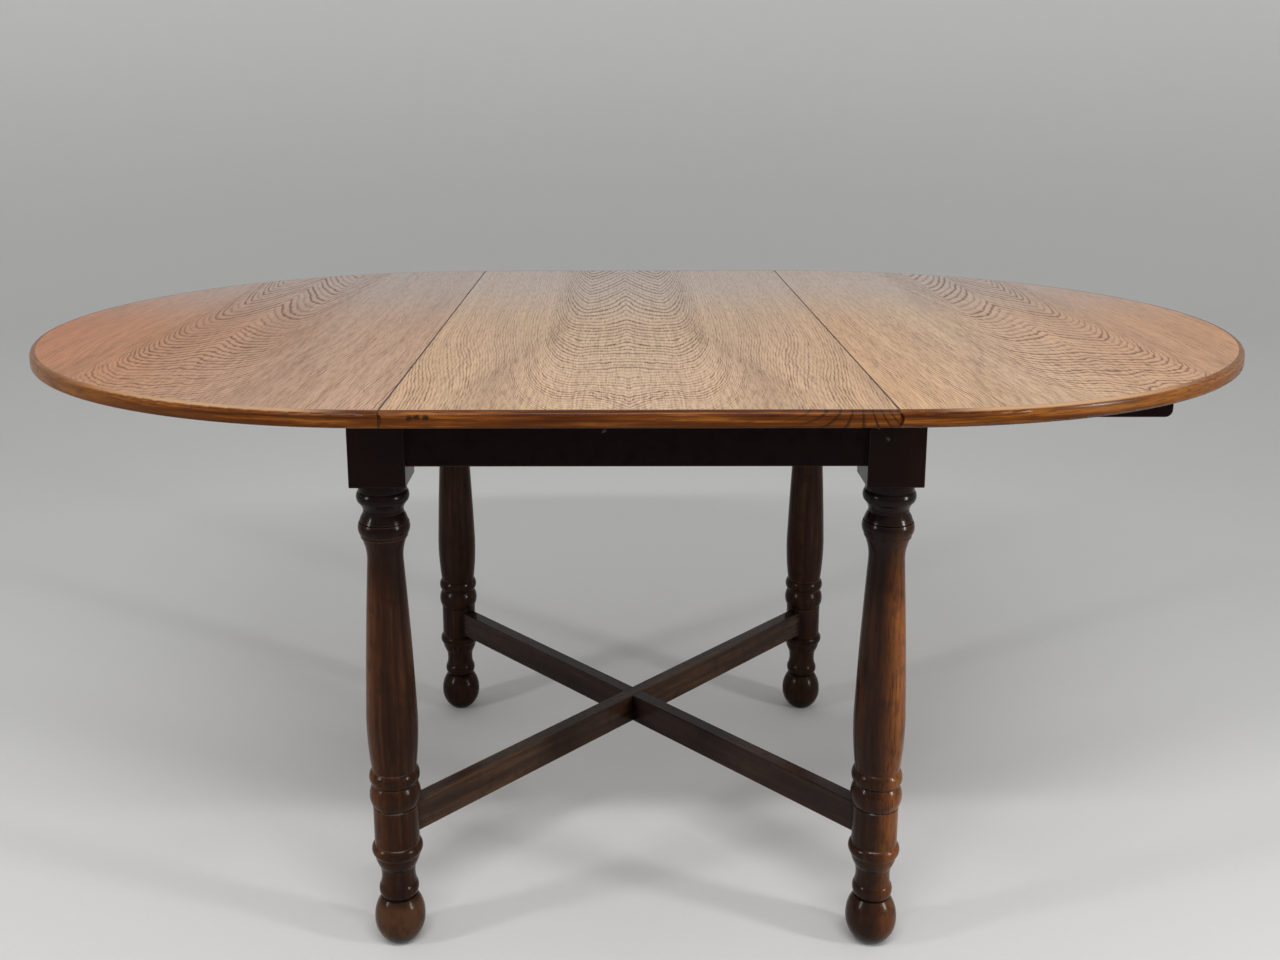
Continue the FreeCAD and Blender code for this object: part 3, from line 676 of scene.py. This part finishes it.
def steel(name):
    finish = Finish(name)
    scratches = finish.noise(finish.place(), (900, 900, 60), 3.0)
    colour = finish.ramp(scratches, (0.3, (0.30, 0.29, 0.27)), (0.7, (0.48, 0.47, 0.45)))
    roughness = finish.spread(scratches, 0.3, 0.7, 0.28, 0.45)
    return finish.polish(colour, roughness, scratches, 0.00005, Metallic=1.0)


runners = [f"{end}_{kind}_runner" for end in ("left_end", "right_end") for kind in ("outer", "inner")]
pegs = [name.replace("runner", "stop_peg") for name in runners]
dress(dark_oak("runner_dark_oak", lengthwise, RAIL_STAIN, 10.0, RAIL_GLOSS), *runners)
dress(bare_oak("bearer_bare_oak", crosswise, 1.0), "bearer_left", "bearer_right")
dress(bare_oak("peg_bare_oak", upright, 2.0), *pegs)
dress(steel("screw_steel"), "left_end_runner_screws", "right_end_runner_screws")

# %% [markdown]
# ## The stage
# A photographer hangs a roll of pale paper that sweeps from the floor up the wall without a crease. A
# straight sheet would end at its sides, so this one is spun into a bowl, and the ground is seamless
# from every side.

# %% Stage
FLOOR_FLAT = 5.0
SWEEP = 2.0
WALL_TOP = 4.5
ROUND_STEPS = 96
SWEEP_STEPS = 12
WELD = 1e-5
PALE_FROM = 2.5

profile = [(0.0, 0.0)]
for step in range(SWEEP_STEPS + 1):
    angle = math.pi / 2 * step / SWEEP_STEPS
    profile.append((FLOOR_FLAT + SWEEP * math.sin(angle), SWEEP - SWEEP * math.cos(angle)))
profile.append((FLOOR_FLAT + SWEEP, WALL_TOP))

ground = bmesh.new()
line = [ground.verts.new((reach, 0, height)) for reach, height in profile]
edges = [ground.edges.new(pair) for pair in zip(line, line[1:])]
bmesh.ops.spin(ground, geom=line + edges, cent=(0, 0, 0), axis=(0, 0, 1), angle=math.tau,
               steps=ROUND_STEPS, use_merge=True)
bmesh.ops.remove_doubles(ground, verts=ground.verts, dist=WELD)
bmesh.ops.recalc_face_normals(ground, faces=ground.faces)
floor_mesh = bpy.data.meshes.new("floor")
ground.to_mesh(floor_mesh)
ground.free()
floor_mesh.shade_smooth()
floor = bpy.data.objects.new("floor", floor_mesh)
bpy.context.scene.collection.objects.link(floor)

screed = Finish("pale_floor")
grit = screed.noise(screed.place(), (400, 400, 400))
risen = screed.spread(screed.split(screed.place())[2], 0.0, PALE_FROM)
pale = screed.ramp(risen, (0.0, (0.55, 0.55, 0.545)), (1.0, (0.88, 0.88, 0.875)))
floor_mesh.materials.append(screed.polish(pale, 0.9, grit, 0.0002))
print(f"stage of {len(floor_mesh.polygons)} faces")

# %% [markdown]
# ## Light
# One long, narrow lamp hangs high in front and draws a thin bright line on every ring of the legs. Two
# narrow, upright lamps stand at the sides like windows, and an even white sky fills the shadows. Wide
# lamps would be softer still, but they would spread those highlights until the turning looked flat.

# %% Light
SKY_STRENGTH = 0.72
WINDOW_SIZE = (0.25, 0.9)
WINDOW_SPREAD = 80


def lamp(name, place, aim, size, watts, spread=180):
    made = bpy.data.objects.new(name, bpy.data.lights.new(name, "AREA"))
    bpy.context.scene.collection.objects.link(made)
    made.data.shape = "RECTANGLE"
    made.data.size, made.data.size_y = size
    made.data.energy = watts
    made.data.spread = math.radians(spread)
    made.location = place
    made.rotation_euler = (Vector(aim) - Vector(place)).to_track_quat("-Z", "Y").to_euler()


lamp("high_strip", (0.1, -1.75, 2.4), (0, -0.2, 0.4), (2.0, 0.10), 42)
lamp("right_window", (2.4, -1.3, 0.95), (0.3, -0.3, 0.4), WINDOW_SIZE, 7.5, WINDOW_SPREAD)
lamp("left_window", (-2.4, -1.3, 1.2), (-0.2, -0.1, 0.4), WINDOW_SIZE, 5, WINDOW_SPREAD)

world = bpy.data.worlds.new("sky")
bpy.context.scene.world = world
world.use_nodes = True
sky = world.node_tree.nodes["Background"]
sky.inputs["Color"].default_value = (1, 1, 1, 1)
sky.inputs["Strength"].default_value = SKY_STRENGTH
bpy.context.scene.view_settings.view_transform = "Standard"
print(f"{len(bpy.data.lights)} lamps and a sky of {SKY_STRENGTH}")
